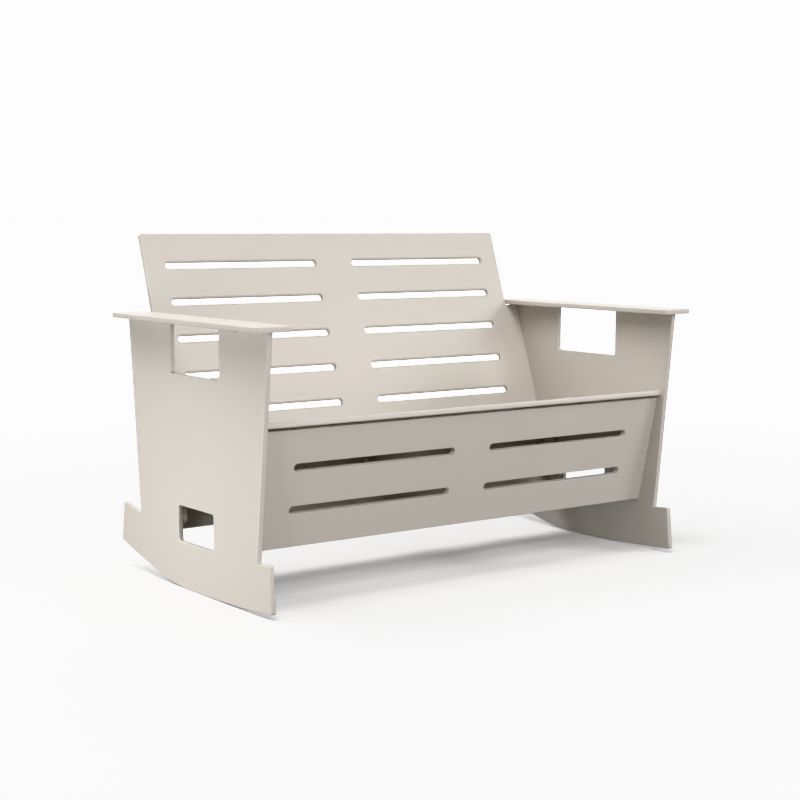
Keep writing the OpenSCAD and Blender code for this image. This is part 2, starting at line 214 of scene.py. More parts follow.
@dataclass(frozen=True)
class Polyethylene:
    """High-density polyethylene, coloured through: a waxy, soft gloss without a clear coat."""

    name: str
    surface: Surface
    tone: str = "#b9b3ab"
    shade: str = "#b5afa7"
    roughness: float = 0.46
    ior: float = 1.54
    cloud: Grain = Grain(170.0, detail=3.0, roughness=0.55)
    relief: Relief = Relief(0.05, 0.06, strength=0.22, height_mm=0.35, low=0.25, high=0.75)

    def build(self) -> Material:
        """Builds the material for this surface.

        Returns:
            The material, its patterns on Object coordinates.
        """
        material, shader = start_material(self.name + "_polyethylene")
        tree = material.node_tree
        mix = add(tree, "ShaderNodeMix", {
            "Factor": self.cloud.draw(tree), 6: rgb(self.shade), 7: rgb(self.tone)},
            data_type="RGBA")
        feed(shader, {"IOR": self.ior, "Base Color": mix.outputs[2]})
        self.relief.carve(shader, self.roughness, self.surface.value)
        return material


@dataclass(frozen=True)
class StainlessSteel:
    """Brushed stainless steel: bright and cool, with streaks a few tenths of a millimetre wide."""

    name: str
    tone: str = "#c9cbcd"
    roughness: float = 0.3
    streaks: Grain = Grain(0.6, squeeze=(1.0, 0.05, 1.0))
    relief: Relief = Relief(0.08, 0.12, strength=0.15, height_mm=0.05)

    def build(self) -> Material:
        """Builds the material.

        Returns:
            The material, its brushing on Object coordinates.
        """
        material, shader = start_material(self.name)
        feed(shader, {"Base Color": rgb(self.tone), "Metallic": 1.0})
        self.relief.carve(shader, self.roughness, self.streaks)
        return material


def turn(degrees: float, axis: str) -> Matrix:
    """Rotation about one axis."""
    return Matrix.Rotation(math.radians(degrees), 4, axis)


def move(x: float, y: float, z: float) -> Matrix:
    """Shift given in millimetres."""
    return Matrix.Translation(Vector((x, y, z))*MM)


def flip(axis: int) -> Matrix:
    """Mirror across the plane square to axis 0, 1 or 2."""
    signs = [-1.0 if i == axis else 1.0 for i in range(3)]
    return Matrix.Diagonal((*signs, 1.0))


# The mirror that makes each half of the bench out of the right one.
SIDES = {"left": flip(0), "right": Matrix.Identity(4)}
# Stands a flat outline up: its own y becomes height.
UPRIGHT = turn(90, "X")
# Stands an outline along the bench's depth: its x becomes Y, its y height, and it grows along X.
LENGTHWAYS = turn(90, "Z") @ turn(90, "X")


def tan(degrees: float) -> float:
    """Tangent of an angle in degrees."""
    return math.tan(math.radians(degrees))


def sin(degrees: float) -> float:
    """Sine of an angle in degrees."""
    return math.sin(math.radians(degrees))


def cos(degrees: float) -> float:
    """Cosine of an angle in degrees."""
    return math.cos(math.radians(degrees))


def arc(centre: Point, radius: float, start: float, end: float, steps: int) -> Loop:
    """Points along an arc.

    Args:
        centre: The arc's centre.
        radius: Its radius.
        start: Angle in degrees where it starts.
        end: Angle in degrees where it ends.
        steps: Number of chords.

    Returns:
        The points, both ends among them.
    """
    angles = [start + (end - start)*i/steps for i in range(steps + 1)]
    return [(centre[0] + radius*cos(a), centre[1] + radius*sin(a)) for a in angles]


def rounded(points: Sequence[Point], radii: Sequence[float], steps: int = 6) -> Loop:
    """Rounds the corners of a closed outline.

    Args:
        points: The sharp corners in order.
        radii: A radius for each corner, zero for a corner that stays sharp.
        steps: Chords in each rounded corner.

    Returns:
        The outline with its corners rounded.
    """
    out: Loop = []
    for i, (point, radius) in enumerate(zip(points, radii)):
        p = Vector(point)
        if radius <= 0:
            out.append(point)
            continue
        u = (Vector(points[i - 1]) - p).normalized()
        w = (Vector(points[(i + 1) % len(points)]) - p).normalized()
        half = u.angle(w)/2
        centre = p + (u + w).normalized()*radius/math.sin(half)
        first, last = (p + v*radius/math.tan(half) - centre for v in (u, w))
        start = math.degrees(math.atan2(first.y, first.x))
        by = (math.degrees(math.atan2(last.y, last.x)) - start + 180) % 360 - 180
        out += arc((centre.x, centre.y), radius, start, start + by, steps)
    return out


def rectangle(x: float, y: float, width: float, height: float, radius: float = 0.0) -> Loop:
    """Rectangle with rounded corners, from its lower left corner."""
    corners = [(x, y), (x + width, y), (x + width, y + height), (x, y + height)]
    return rounded(corners, [radius]*4)


@dataclass(frozen=True)
class Slots:
    """A field of round-ended slots in a board, their clear size measured inside the round-over."""

    rows: int = 0
    columns: int = 0
    length: float = 434.0
    width: float = 14.6
    row_pitch: float = 92.0
    column_pitch: float = 548.0
    first_row: float = 0.0
    round_over: float = 5.2

    def centred(self, height: float) -> "Slots":
        """The same field, half way up a board of that height."""
        return replace(self, first_row=(height - (self.rows - 1)*self.row_pitch)/2)

    def hold(self, at: Vector) -> bool:
        """Says whether a point of the board belongs to the wall or the rim of a slot.

        Args:
            at: The point in the board's frame, in millimetres.

        Returns:
            True for a point of a slot.
        """
        row = round((at.y - self.first_row)/self.row_pitch)
        reach = (self.column_pitch*(self.columns - 1) + self.length)/2 + self.width
        return (0 <= row < self.rows and abs(at.x) < reach
                and abs(at.y - self.first_row - row*self.row_pitch) < self.width)


def new_tree(name: str, inputs: dict[str, str]) -> NodeTree:
    """Starts a Geometry Nodes tree.

    Args:
        name: The tree's name.
        inputs: The name of each input, with its kind of socket.

    Returns:
        The tree, still without nodes.
    """
    tree = bpy.data.node_groups.new(name, "GeometryNodeTree")
    for label, kind in inputs.items():
        tree.interface.new_socket(label, in_out="INPUT", socket_type="NodeSocket" + kind)
    tree.interface.new_socket("Geometry", in_out="OUTPUT", socket_type="NodeSocketGeometry")
    return tree


def end_tree(tree: NodeTree, geometry: Node, material: NodeSocket) -> None:
    """Ends a tree in real geometry of one material.

    Args:
        tree: The tree.
        geometry: The node that gives the geometry.
        material: The input that gives the material.
    """
    real = add(tree, "GeometryNodeRealizeInstances", {"Geometry": geometry})
    done = add(tree, "GeometryNodeSetMaterial", {"Geometry": real, "Material": material})
    add(tree, "NodeGroupOutput", {0: done})


def grow(piece: Object, tree: NodeTree, values: dict[str, object]) -> None:
    """Runs a Geometry Nodes tree on a piece and keeps the result as its plain mesh.

    Args:
        piece: The piece, whose mesh feeds the tree.
        tree: The tree to run.
        values: A value for each of the tree's named inputs.
    """
    modifier = piece.modifiers.new(tree.name, "NODES")
    modifier.node_group = tree
    sockets = {item.name: item.identifier for item in tree.interface.items_tree
               if item.item_type == "SOCKET" and item.in_out == "INPUT"}
    for name, value in values.items():
        modifier[sockets[name]] = value
    bpy.context.view_layer.update()
    graph = bpy.context.evaluated_depsgraph_get()
    result = bpy.data.meshes.new_from_object(
        piece.evaluated_get(graph), preserve_all_data_layers=True, depsgraph=graph)
    piece.modifiers.remove(modifier)
    old = piece.data
    piece.data = result
    result.name = piece.name
    bpy.data.meshes.remove(old)


@dataclass
class BoardCutter:
    """Cuts an outline, its openings and its slots from a board, and routs the edges.

    The face is the finish of the pressed or sawn faces, the edge that of the routed edges, and
    the wall that of the slots' walls, which are duller and painted darker as shade in the slots.
    """

    face: Material
    edge: Material
    wall: Material
    round_over: float = 2.0
    edge_steps: int = 4
    slot_edge_steps: int = 6
    slot_end_steps: int = 8
    # The arcs at a slot's end stay this little apart, as a share of its width.
    end_share: float = 0.4999
    routed_from: float = 38.0
    smooth_under: float = 32.0
    flat_over: float = 0.999

    @cached_property
    def tree(self) -> NodeTree:
        """The tree that fills an outline, cuts its slots and gives it thickness.

        Returns:
            The tree, with a named input for each size.
        """
        tree = new_tree("slotted_board", {
            "Outline": "Geometry", "Thickness": "Float", "Slot Length": "Float",
            "Slot Width": "Float", "Row Pitch": "Float", "Column Pitch": "Float",
            "First Row": "Float", "Rows": "Int", "Columns": "Int", "Face": "Material"})
        size = add(tree, "NodeGroupInput").outputs
        radius = add(tree, "ShaderNodeMath", {0: size["Slot Width"], 1: self.end_share},
                     operation="MULTIPLY")
        box = add(tree, "GeometryNodeCurvePrimitiveQuadrilateral", {
            "Width": size["Slot Length"], "Height": size["Slot Width"]})
        slot = add(tree, "GeometryNodeFilletCurve", {
            "Curve": box, "Count": self.slot_end_steps, "Radius": radius,
            "Limit Radius": True}, mode="POLY")
        spans = []
        for pitch, number in (("Column Pitch", "Columns"), ("Row Pitch", "Rows")):
            gaps = add(tree, "ShaderNodeMath", {0: size[number], 1: 1.0}, operation="SUBTRACT")
            spans.append(add(tree, "ShaderNodeMath", {0: gaps, 1: size[pitch]},
                             operation="MULTIPLY"))
        grid = add(tree, "GeometryNodeMeshGrid", {
            "Size X": spans[0], "Size Y": spans[1],
            "Vertices X": size["Columns"], "Vertices Y": size["Rows"]})
        middle = add(tree, "ShaderNodeMath", {0: spans[1], 1: 0.5, 2: size["First Row"]},
                     operation="MULTIPLY_ADD")
        lift = add(tree, "ShaderNodeCombineXYZ", {"Y": middle})
        places = add(tree, "GeometryNodeTransform", {"Geometry": grid, "Translation": lift})
        many = add(tree, "GeometryNodeInstanceOnPoints", {"Points": places, "Instance": slot})
        cuts = add(tree, "GeometryNodeRealizeInstances", {"Geometry": many})
        outline = add(tree, "GeometryNodeMeshToCurve", {"Mesh": size["Outline"]})
        join = add(tree, "GeometryNodeJoinGeometry", {0: outline})
        feed(join, {0: cuts})
        fill = add(tree, "GeometryNodeFillCurve", {"Curve": join})
        top = add(tree, "GeometryNodeExtrudeMesh", {
            "Mesh": fill, "Offset Scale": size["Thickness"], "Individual": False})
        under = add(tree, "GeometryNodeFlipFaces", {"Mesh": fill})
        both = add(tree, "GeometryNodeJoinGeometry", {0: top})
        feed(both, {0: under})
        closed = add(tree, "GeometryNodeMergeByDistance", {"Geometry": both, "Distance": MERGE})
        end_tree(tree, closed, size["Face"])
        return tree

    def cut(self, name: str, loops: Sequence[Loop], thickness: float, place: Matrix,
            slots: Slots = Slots(), square: Test | None = None) -> Object:
        """Cuts one board and puts it in its place.

        Args:
            name: The piece's name.
            loops: The outline and the openings in it, in millimetres.
            thickness: The board's thickness.
            place: Where the outline's frame lies on the bench.
            slots: The field of slots.
            square: Says which edges stay square, from an edge's middle in the outline's frame.

        Returns:
            The finished piece, its object at the origin.
        """
        mesh = bpy.data.meshes.new(name + "_outline")
        points, edges = [], []
        for loop in loops:
            start = len(points)
            points += [(x*MM, y*MM, 0.0) for x, y in loop]
            edges += [(start + i, start + (i + 1) % len(loop)) for i in range(len(loop))]
        mesh.from_pydata(points, edges, [])
        piece = put(name, mesh)
        grow(piece, self.tree, {
            "Thickness": thickness*MM, "Rows": slots.rows, "Columns": slots.columns,
            "Slot Length": slots.length*MM, "Slot Width": slots.width*MM,
            "Row Pitch": slots.row_pitch*MM, "Column Pitch": slots.column_pitch*MM,
            "First Row": slots.first_row*MM, "Face": self.face})
        piece.data.materials.clear()
        for material in (self.face, self.edge, self.wall)[:3 if slots.rows else 2]:
            piece.data.materials.append(material)
        self._route(piece.data, slots, square)
        piece.data.transform(place)
        if place.determinant() < 0:
            piece.data.flip_normals()
        return piece

    def _route(self, mesh: Mesh, slots: Slots, square: Test | None) -> None:
        """Rounds the board's edges and gives each face its finish.

        Args:
            mesh: The board, still flat in its outline's frame.
            slots: The field of slots, which have their own round-over.
            square: Says which edges stay square.
        """
        work = bmesh.new()
        work.from_mesh(mesh)
        bmesh.ops.remove_doubles(work, verts=work.verts, dist=MERGE)
        middle = {e: (e.verts[0].co + e.verts[1].co)/2/MM for e in work.edges}
        sharp = [e for e in work.edges
                 if e.calc_face_angle(0.0) > math.radians(self.routed_from)
                 and not (square and square(middle[e]))]
        rims = [e for e in sharp if slots.hold(middle[e])]
        rest = [e for e in sharp if not slots.hold(middle[e])]
        for edges, radius, steps in ((rest, self.round_over, self.edge_steps),
                                     (rims, slots.round_over, self.slot_edge_steps)):
            if edges:
                bmesh.ops.bevel(work, geom=edges, offset=radius*MM, offset_type="OFFSET",
                                segments=steps, profile=0.5, affect="EDGES",
                                clamp_overlap=False)
        work.normal_update()
        for face in work.faces:
            flat = abs(face.normal.z) > self.flat_over
            face.smooth = not flat
            if not flat:
                # Slot walls take the wall material, whose darker tone is painted shade inside the
                # slots.
                face.material_index = 2 if slots.hold(face.calc_center_median()/MM) else 1
        for edge in work.edges:
            edge.smooth = edge.calc_face_angle(0.0) < math.radians(self.smooth_under)
        work.to_mesh(mesh)
        work.free()
        mesh.update()


@dataclass(frozen=True)
class Layout:
    """Sizes that several boards share, and the frames in which they stand."""

    sheet: float = 12.7
    bench_width: float = 1200.0
    side_height: float = 610.0
    seat_height: float = 415.9
    seat_front: float = 278.5
    seat_depth: float = 471.0
    seat_slope: float = 12.4
    back_lean: float = 18.9
    below_seat: float = 185.8
    apron_lean: float = 12.4
    apron_inset: float = 26.8
    rear_reach: float = 366.3
    arm_length: float = 654.0
    arm_width: float = 89.0
    arm_shift: float = 2.8
    shoulder_gap: float = 1.0
    stick: float = 25.0
    gap: float = 3.0

    @property
    def inner(self) -> float:
        """Distance of the side panels' inner faces from the middle."""
        return self.bench_width/2 - self.sheet

    @property
    def side_middle(self) -> float:
        """Distance of the side panels' middle planes from the middle."""
        return self.bench_width/2 - self.sheet/2

    @property
    def apron_turn(self) -> float:
        """Angle between the apron and a square to the seat."""
        return self.seat_slope + self.apron_lean

    @property
    def back_turn(self) -> float:
        """Angle between the back and a square to the seat."""
        return self.back_lean - self.seat_slope

    @property
    def seat_end(self) -> Point:
        """Where the seat's lower rear edge meets the back.

        Returns:
            The place, as y and z.
        """
        deep, thick, slope = self.seat_depth, self.sheet, self.seat_slope
        return (-self.seat_front + deep*cos(slope) - thick*sin(slope),
                self.seat_height - deep*sin(slope) - thick*cos(slope))

    @property
    def shoulder(self) -> float:
        """How far up the back its shoulders are, from the seat."""
        return (self.side_height - self.shoulder_gap - self.seat_end[1])/cos(self.back_lean)

    @property
    def bench(self) -> Matrix:
        """Frame of the side panels' middle."""
        return move(0, -(self.rear_reach - self.arm_length/2 - self.arm_shift)/2, 0)

    @property
    def seat(self) -> Matrix:
        """Frame on the seat's front top edge, y along its slope."""
        edge = move(0, -self.seat_front, self.seat_height)
        return self.bench @ edge @ turn(-self.seat_slope, "X")

    @property
    def apron(self) -> Matrix:
        """Frame on the apron's upper rear edge."""
        return self.seat @ move(0, self.apron_inset, -self.sheet) @ turn(self.apron_turn, "X")

    @property
    def back(self) -> Matrix:
        """Frame where the back's front face meets the seat."""
        return self.bench @ move(0, *self.seat_end) @ turn(-self.back_lean, "X")


def finish_piece(piece: Object, node: str) -> None:
    """Hands a piece to the frame and reports how well it lies on the node it stands for.

    Args:
        piece: The finished piece.
        node: The node that it stands for.
    """
    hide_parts(node)
    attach(piece, "root")
    low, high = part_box(node)
    own = [[v.co[i] for v in piece.data.vertices] for i in range(3)]
    off = max(max(abs(min(own[i]) - low[i]), abs(max(own[i]) - high[i])) for i in range(3))/MM
    LOG.info("%s: %d faces, %.2f mm off its solid's box", piece.name,
             len(piece.data.polygons), off)


@dataclass
class Workshop:
    """What every sub-assembly needs: the shared layout, the cutters and the steel."""

    layout: Layout
    boards: BoardCutter
    sticks: BoardCutter
    steel: Material

    def board(self, node: str, loops: Sequence[Loop], place: Matrix, slots: Slots = Slots(),
              square: Test | None = None) -> None:
        """Cuts a node's board from the sheet and hands it over.

        Args:
            node: The node that the board stands for.
            loops: The outline and the openings in it.
            place: Where the outline's frame lies on the bench.
            slots: The field of slots.
            square: Says which edges stay square.
        """
        piece = self.boards.cut("routed_" + node, loops, self.layout.sheet, place, slots, square)
        finish_piece(piece, node)


@dataclass
class SidePanels:
    """The two side panels, each cut in one with its stepped feet and its runner."""

    shop: Workshop
    top_half: float = 314.8
    lean: float = 5.9
    front_step: float = 113.4
    rear_step: float = 145.4
    front_foot: Point = (-311.9, 118.2)
    rear_foot: Point = (354.1, 161.1)
    front_tip: float = -321.8
    rear_tip: float = 366.3
    foot_radius: float = 6.0
    low_y: float = 32.8
    front_radius: float = 4950.0
    middle_radius: float = 600.0
    middle_run: float = 120.5
    rear_radius: float = 2740.0
    # Front end, rear end and depth.
    grip: Place = (-110.0, 110.1, 116.8)
    # Half of the length, lower edge and height.
    window: Place = (79.5, 108.5, 83.0)
    opening_radius: float = 6.0
    runner_step: float = 9.0

    def runner(self, y: float) -> Point:
        """A point of the runner's curve.

        Args:
            y: Place along the bench's depth, from the panel's middle.

        Returns:
            That place and its height above the floor.
        """
        d = y - self.low_y
        if d < 0:
            return y, self.front_radius - math.sqrt(self.front_radius**2 - d*d)
        if d < self.middle_run:
            return y, self.middle_radius - math.sqrt(self.middle_radius**2 - d*d)
        s = self.middle_run/self.middle_radius
        c = math.sqrt(1 - s*s)
        extra = self.rear_radius - self.middle_radius
        return y, (self.middle_radius + extra*c
                   - math.sqrt(self.rear_radius**2 - (d + extra*s)**2))

    def half(self, z: float) -> float:
        """Half of the panel's length at a height."""
        return self.top_half - (self.shop.layout.side_height - z)*tan(self.lean)

    def outline(self) -> list[Loop]:
        """Outline of a panel and its window, as y and z.

        Returns:
            The closed outline, then the window.
        """
        height = self.shop.layout.side_height
        span = self.rear_tip - self.front_tip
        count = int(span/self.runner_step)
        # The curve's ends give way to the feet's rounded tips.
        curve = [self.runner(self.front_tip + span*i/count) for i in range(2, count - 1)]
        start, end, deep = self.grip
        foot, r = self.foot_radius, self.opening_radius
        corners = [((-self.top_half, height), 0),
                   ((-self.half(self.front_step), self.front_step), 0),
                   (self.front_foot, foot), (self.runner(self.front_tip), foot)]
        corners += [(p, 0) for p in curve]
        corners += [(self.runner(self.rear_tip), foot), (self.rear_foot, foot),
                    ((self.half(self.rear_step), self.rear_step), 0),
                    ((self.top_half, height), 0), ((end, height), 0),
                    ((end, height - deep), r), ((start, height - deep), r), ((start, height), 0)]
        wide, low, high = self.window
        return [rounded(*zip(*corners)), rectangle(-wide, low, 2*wide, high, r)]

    def build(self) -> None:
        """Cuts both panels and puts them in place."""
        layout = self.shop.layout
        loops = self.outline()
        for side, mirror in SIDES.items():
            place = layout.bench @ mirror @ move(layout.inner, 0, 0) @ LENGTHWAYS
            self.shop.board("side_panel_" + side, loops, place,
                            square=lambda at: at.y > layout.side_height - NEAR)


@dataclass
class ArmBoards:
    """The flat boards that lie on the side panels, and the steel plates that hold them."""

    shop: Workshop
    front_radius: float = 10.0
    rear_radius: float = 3.0

    def build(self) -> None:
        """Cuts both boards and gives the plates their steel."""
        layout = self.shop.layout
        wide, long = layout.arm_width, layout.arm_length
        loop = rounded([(0, 0), (wide, 0), (wide, long), (0, long)],
                       [self.front_radius]*2 + [self.rear_radius]*2)
        for side, mirror in SIDES.items():
            place = (layout.bench @ mirror
                     @ move(layout.side_middle - wide/2, -long/2 - layout.arm_shift,
                            layout.side_height))
            self.shop.board("arm_board_" + side, [loop], place)
            for end in ("front", "rear"):
                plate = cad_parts[f"arm_plate_{side}_{end}"]
                for slot in plate.material_slots:
                    slot.material = self.shop.steel


@dataclass
class BackPanel:
    """The reclined back, whose lower part closes the seat box from behind."""

    shop: Workshop
    above_seat: float = 534.2
    first_slot: float = 81.0
    arm_gap: float = 1.0
    radius: float = 5.0
    slots: Slots = Slots(rows=5, columns=2)

    def build(self) -> None:
        """Cuts the panel."""
        layout = self.shop.layout
        upper = layout.side_middle - layout.arm_width/2 - self.arm_gap
        low, top = -layout.below_seat, self.above_seat
        wide, shoulder = layout.inner, layout.shoulder
        points = [(-wide, low), (wide, low), (wide, shoulder), (upper, shoulder),
                  (upper, top), (-upper, top), (-upper, shoulder), (-wide, shoulder)]
        loop = rounded(points, [0, 0, 0, 0, self.radius, self.radius, 0, 0])
        first = top - self.first_slot - (self.slots.rows - 1)*self.slots.row_pitch
        self.shop.board("back_panel", [loop], layout.back @ move(0, layout.sheet, 0) @ UPRIGHT,
                        replace(self.slots, first_row=first),
                        square=lambda at: abs(at.x) > wide - NEAR)


@dataclass
class SeatBox:
    """Seat, apron and middle rib, with the strips and sticks that join them."""

    shop: Workshop
    apron_height: float = 275.0
    rib_depth: float = 120.0
    strip_width: float = 50.0
    strip_radius: float = 20.0
    strip_up: float = 8.0
    apron_stick_up: float = 12.0
    back_stick_shares: Point = (0.105, 0.755)
    seat_slots: Slots = Slots(rows=4, columns=2)
    apron_slots: Slots = Slots(rows=2, columns=2, length=442.5, width=18.5, row_pitch=99.0,
                               round_over=1.0)

    def boards(self) -> None:
        """Cuts seat, apron and rib."""
        layout = self.shop.layout
        wide, sheet, apron = layout.inner, layout.sheet, self.apron_height
        for node, height, place, slots in (
                ("seat_board", layout.seat_depth, layout.seat @ move(0, 0, -sheet),
                 self.seat_slots),
                ("front_apron", apron, layout.apron @ move(0, 0, -apron) @ UPRIGHT,
                 self.apron_slots)):
            # The ends and the rear or upper edge meet other boards, so they stay square.
            self.shop.board(node, [rectangle(-wide, 0, 2*wide, height)], place,
                            slots.centred(height),
                            square=lambda at: abs(at.x) > wide - NEAR or at.y > height - NEAR)
        front, deep = layout.apron_inset, self.rib_depth
        rib = [(layout.seat_depth, 0), (layout.seat_depth - deep*tan(layout.back_turn), -deep),
               (front + deep*tan(layout.apron_turn), -deep), (front, 0)]
        self.shop.board("centre_rib", [rib],
                        layout.seat @ move(-sheet/2, 0, -sheet) @ LENGTHWAYS)

    def strips(self) -> None:
        """Cuts the flat strips in the rear lower corners."""
        layout = self.shop.layout
        wide = self.strip_width
        length = layout.below_seat - self.strip_up - wide*tan(layout.back_turn) - layout.gap
        loop = rounded([(0, 0), (wide, 0), (wide, length), (0, length)],
                       [0, self.strip_radius, 0, 0], steps=10)
        for side, mirror in SIDES.items():
            place = (mirror @ layout.back
                     @ move(layout.inner, 0, self.strip_up - layout.below_seat)
                     @ turn(-90, "Z") @ turn(90, "X"))
            node = "back_strip_" + side
            piece = self.shop.sticks.cut("routed_" + node, [loop], layout.sheet, place)
            finish_piece(piece, node)

    def sticks(self) -> None:
        """Cuts the square sticks in the corners between the boards."""
        layout = self.shop.layout
        inner, sheet, stick, gap = layout.inner, layout.sheet, layout.stick, layout.gap
        front, rear = layout.apron_turn, layout.back_turn
        front_skew, rear_skew = stick*tan(front), stick*tan(rear)
        apron_long = self.apron_height - self.apron_stick_up - front_skew - gap
        rib_front_long = self.rib_depth/cos(front) - front_skew - 2*gap
        rib_rear_long = self.rib_depth/cos(rear) - rear_skew - 2*gap
        low, high = (share*layout.shoulder for share in self.back_stick_shares)
        start = layout.apron_inset + stick/cos(front) + front_skew + gap
        seat_end = layout.seat_depth - self.strip_width/cos(rear) - rear_skew - gap
        rib_end = layout.seat_depth - stick/cos(rear) - rear_skew - gap
        under_seat = layout.seat @ move(0, start, -sheet) @ turn(-90, "X")
        frames = {
            "apron_bar": (apron_long, layout.apron
                          @ move(inner, 0, self.apron_stick_up - self.apron_height) @ flip(0)),
            "seat_bar": (seat_end - start, move(inner, 0, 0) @ under_seat @ flip(0)),
            "back_bar": (high - low, layout.back @ move(inner, sheet, low) @ flip(0)),
            "rib_front_bar": (rib_front_long, layout.apron
                              @ move(sheet/2, 0, -rib_front_long - front_skew - gap)),
            "rib_rear_bar": (rib_rear_long, layout.back
                             @ move(sheet/2, 0, -rib_rear_long - rear_skew - gap) @ flip(1)),
            "rib_seat_bar": (rib_end - start, move(sheet/2, 0, 0) @ under_seat)}
        square = rectangle(0, 0, stick, stick)
        for name, (length, place) in frames.items():
            for side, mirror in SIDES.items():
                node = f"{name}_{side}"
                piece = self.shop.sticks.cut("sawn_" + node, [square], length, mirror @ place)
                finish_piece(piece, node)

    def build(self) -> None:
        """Makes the whole seat box."""
        self.boards()
        self.strips()
        self.sticks()


@dataclass(frozen=True)
class ScrewKind:
    """One kind of screw, and the node whose screws it stands for."""

    node: str
    length: float
    flat: bool = False


@dataclass
class Fasteners:
    """Stainless screws with round heads and hexagon sockets, and flat ones on the arm plates."""

    shop: Workshop
    head: float = 9.5
    head_height: float = 3.0
    head_rim: float = 0.3
    # Angles in degrees of the dome's rings, and the flat top's share of the head.
    dome: Place = (20, 38, 54)
    dome_top: float = 0.5
    flat_rim: float = 0.25
    shank: float = 4.8
    tip: float = 3.0
    tip_share: float = 0.35
    socket: float = 3.6
    socket_depth: float = 1.6
    socket_lead: float = 0.2
    chamfer: float = 0.15
    sides: int = 24
    smooth_under: float = 35.0
    # Points further out than this share of the head's radius are on its rim.
    rim_share: float = 0.9
    first_seed: int = 3
    kinds: tuple[ScrewKind, ...] = (
        ScrewKind("long_screws", 35), ScrewKind("strip_screws", 22), ScrewKind("arm_screws", 12),
        ScrewKind("plate_screws", 30, flat=True))

    def _tree(self) -> NodeTree:
        """Builds the Geometry Nodes tree that sets a screw on each point, along its axis.

        Returns:
            The tree, with named inputs for the screw, its steel and the seed of its turns.
        """
        tree = new_tree("screw_field", {
            "Places": "Geometry", "Screw": "Object", "Steel": "Material", "Seed": "Int"})
        given = add(tree, "NodeGroupInput").outputs
        screw = add(tree, "GeometryNodeObjectInfo", {"Object": given["Screw"]})
        axis = add(tree, "GeometryNodeInputNamedAttribute", {"Name": "axis"},
                   data_type="FLOAT_VECTOR")
        upright = add(tree, "FunctionNodeAlignRotationToVector", {"Vector": axis}, axis="Z")
        # Output 1 is the random number, output 0 the random vector.
        by = add(tree, "FunctionNodeRandomValue", {"Seed": given["Seed"]}, data_type="FLOAT")
        angle = add(tree, "ShaderNodeMath", {0: by.outputs[1], 1: math.tau},
                    operation="MULTIPLY")
        spin = add(tree, "FunctionNodeAxisAngleToRotation", {
            "Axis": (0.0, 0.0, 1.0), "Angle": angle})
        turned = add(tree, "FunctionNodeRotateRotation", {0: upright, 1: spin},
                     rotation_space="LOCAL")
        many = add(tree, "GeometryNodeInstanceOnPoints", {
            "Points": given["Places"], "Instance": screw.outputs["Geometry"],
            "Rotation": turned})
        end_tree(tree, many, given["Steel"])
        return tree

    def _ring(self, work: bmesh.types.BMesh, radius: float, z: float,
              hexagon: bool = False) -> list[bmesh.types.BMVert]:
        """Adds a ring of vertices, round or along a hexagon.

        Args:
            work: The mesh in work.
            radius: Radius over the corners.
            z: Height of the ring.
            hexagon: Whether the ring follows a hexagon.

        Returns:
            The ring's vertices in order.
        """
        out = []
        for i in range(self.sides):
            a = 360*i/self.sides
            r = radius*cos(30)/cos(a % 60 - 30) if hexagon else radius
            out.append(work.verts.new((r*cos(a)*MM, r*sin(a)*MM, z*MM)))
        return out

    def _screw(self, kind: ScrewKind) -> Object:
        """Makes one screw at the origin, its head's seat on z 0.

        Args:
            kind: The kind of screw.

        Returns:
            The screw, used only as a pattern.
        """
        half, wall, rim, recess = self.head/2, self.shank/2, self.head_rim, self.socket/2
        top = 0.0 if kind.flat else self.head_height
        profile = [(wall*self.tip_share, -kind.length), (wall, -kind.length + self.tip)]
        if kind.flat:
            profile += [(wall, wall - half), (half, -self.flat_rim), (half - self.chamfer, 0)]
        else:
            profile += [(wall, 0), (half - rim, 0), (half, rim)]
            profile += [(half*cos(a), rim + (top - rim)*sin(a)) for a in self.dome]
            profile += [(half*self.dome_top, top)]
        hexagon = [(recess + self.chamfer, top), (recess, top - self.socket_lead),
                   (recess, top - self.socket_depth)]
        work = bmesh.new()
        rings = [self._ring(work, r, z) for r, z in profile]
        rings += [self._ring(work, r, z, hexagon=True) for r, z in hexagon]
        for a, b in zip(rings, rings[1:]):
            for i in range(self.sides):
                j = (i + 1) % self.sides
                work.faces.new((a[i], a[j], b[j], b[i]))
        work.faces.new(rings[0][::-1])
        work.faces.new(rings[-1])
        bmesh.ops.recalc_face_normals(work, faces=work.faces)
        for face in work.faces:
            face.smooth = True
        for edge in work.edges:
            edge.smooth = edge.calc_face_angle(0.0) < math.radians(self.smooth_under)
        mesh = bpy.data.meshes.new(kind.node + "_pattern")
        work.to_mesh(mesh)
        work.free()
        return put(kind.node + "_pattern", mesh)

    def _places(self, kind: ScrewKind) -> list[tuple[Vector, Vector]]:
        """Finds where the node's screws sit and which way their heads look.

        Args:
            kind: The kind of screw.

        Returns:
            For each screw the middle of its head's seat and its axis, out of the head.
        """
        work = bmesh.new()
        work.from_mesh(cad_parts[kind.node].data)
        bmesh.ops.remove_doubles(work, verts=work.verts, dist=MERGE)
        left = dict.fromkeys(work.verts)
        found = []
        while left:
            group, queue = [], [left.popitem()[0]]
            while queue:
                v = queue.pop()
                group.append(v)
                for e in v.link_edges:
                    w = e.other_vert(v)
                    if w in left:
                        del left[w]
                        queue.append(w)
            found.append(self._axis([v.co.copy() for v in group], kind))
        work.free()
        return found

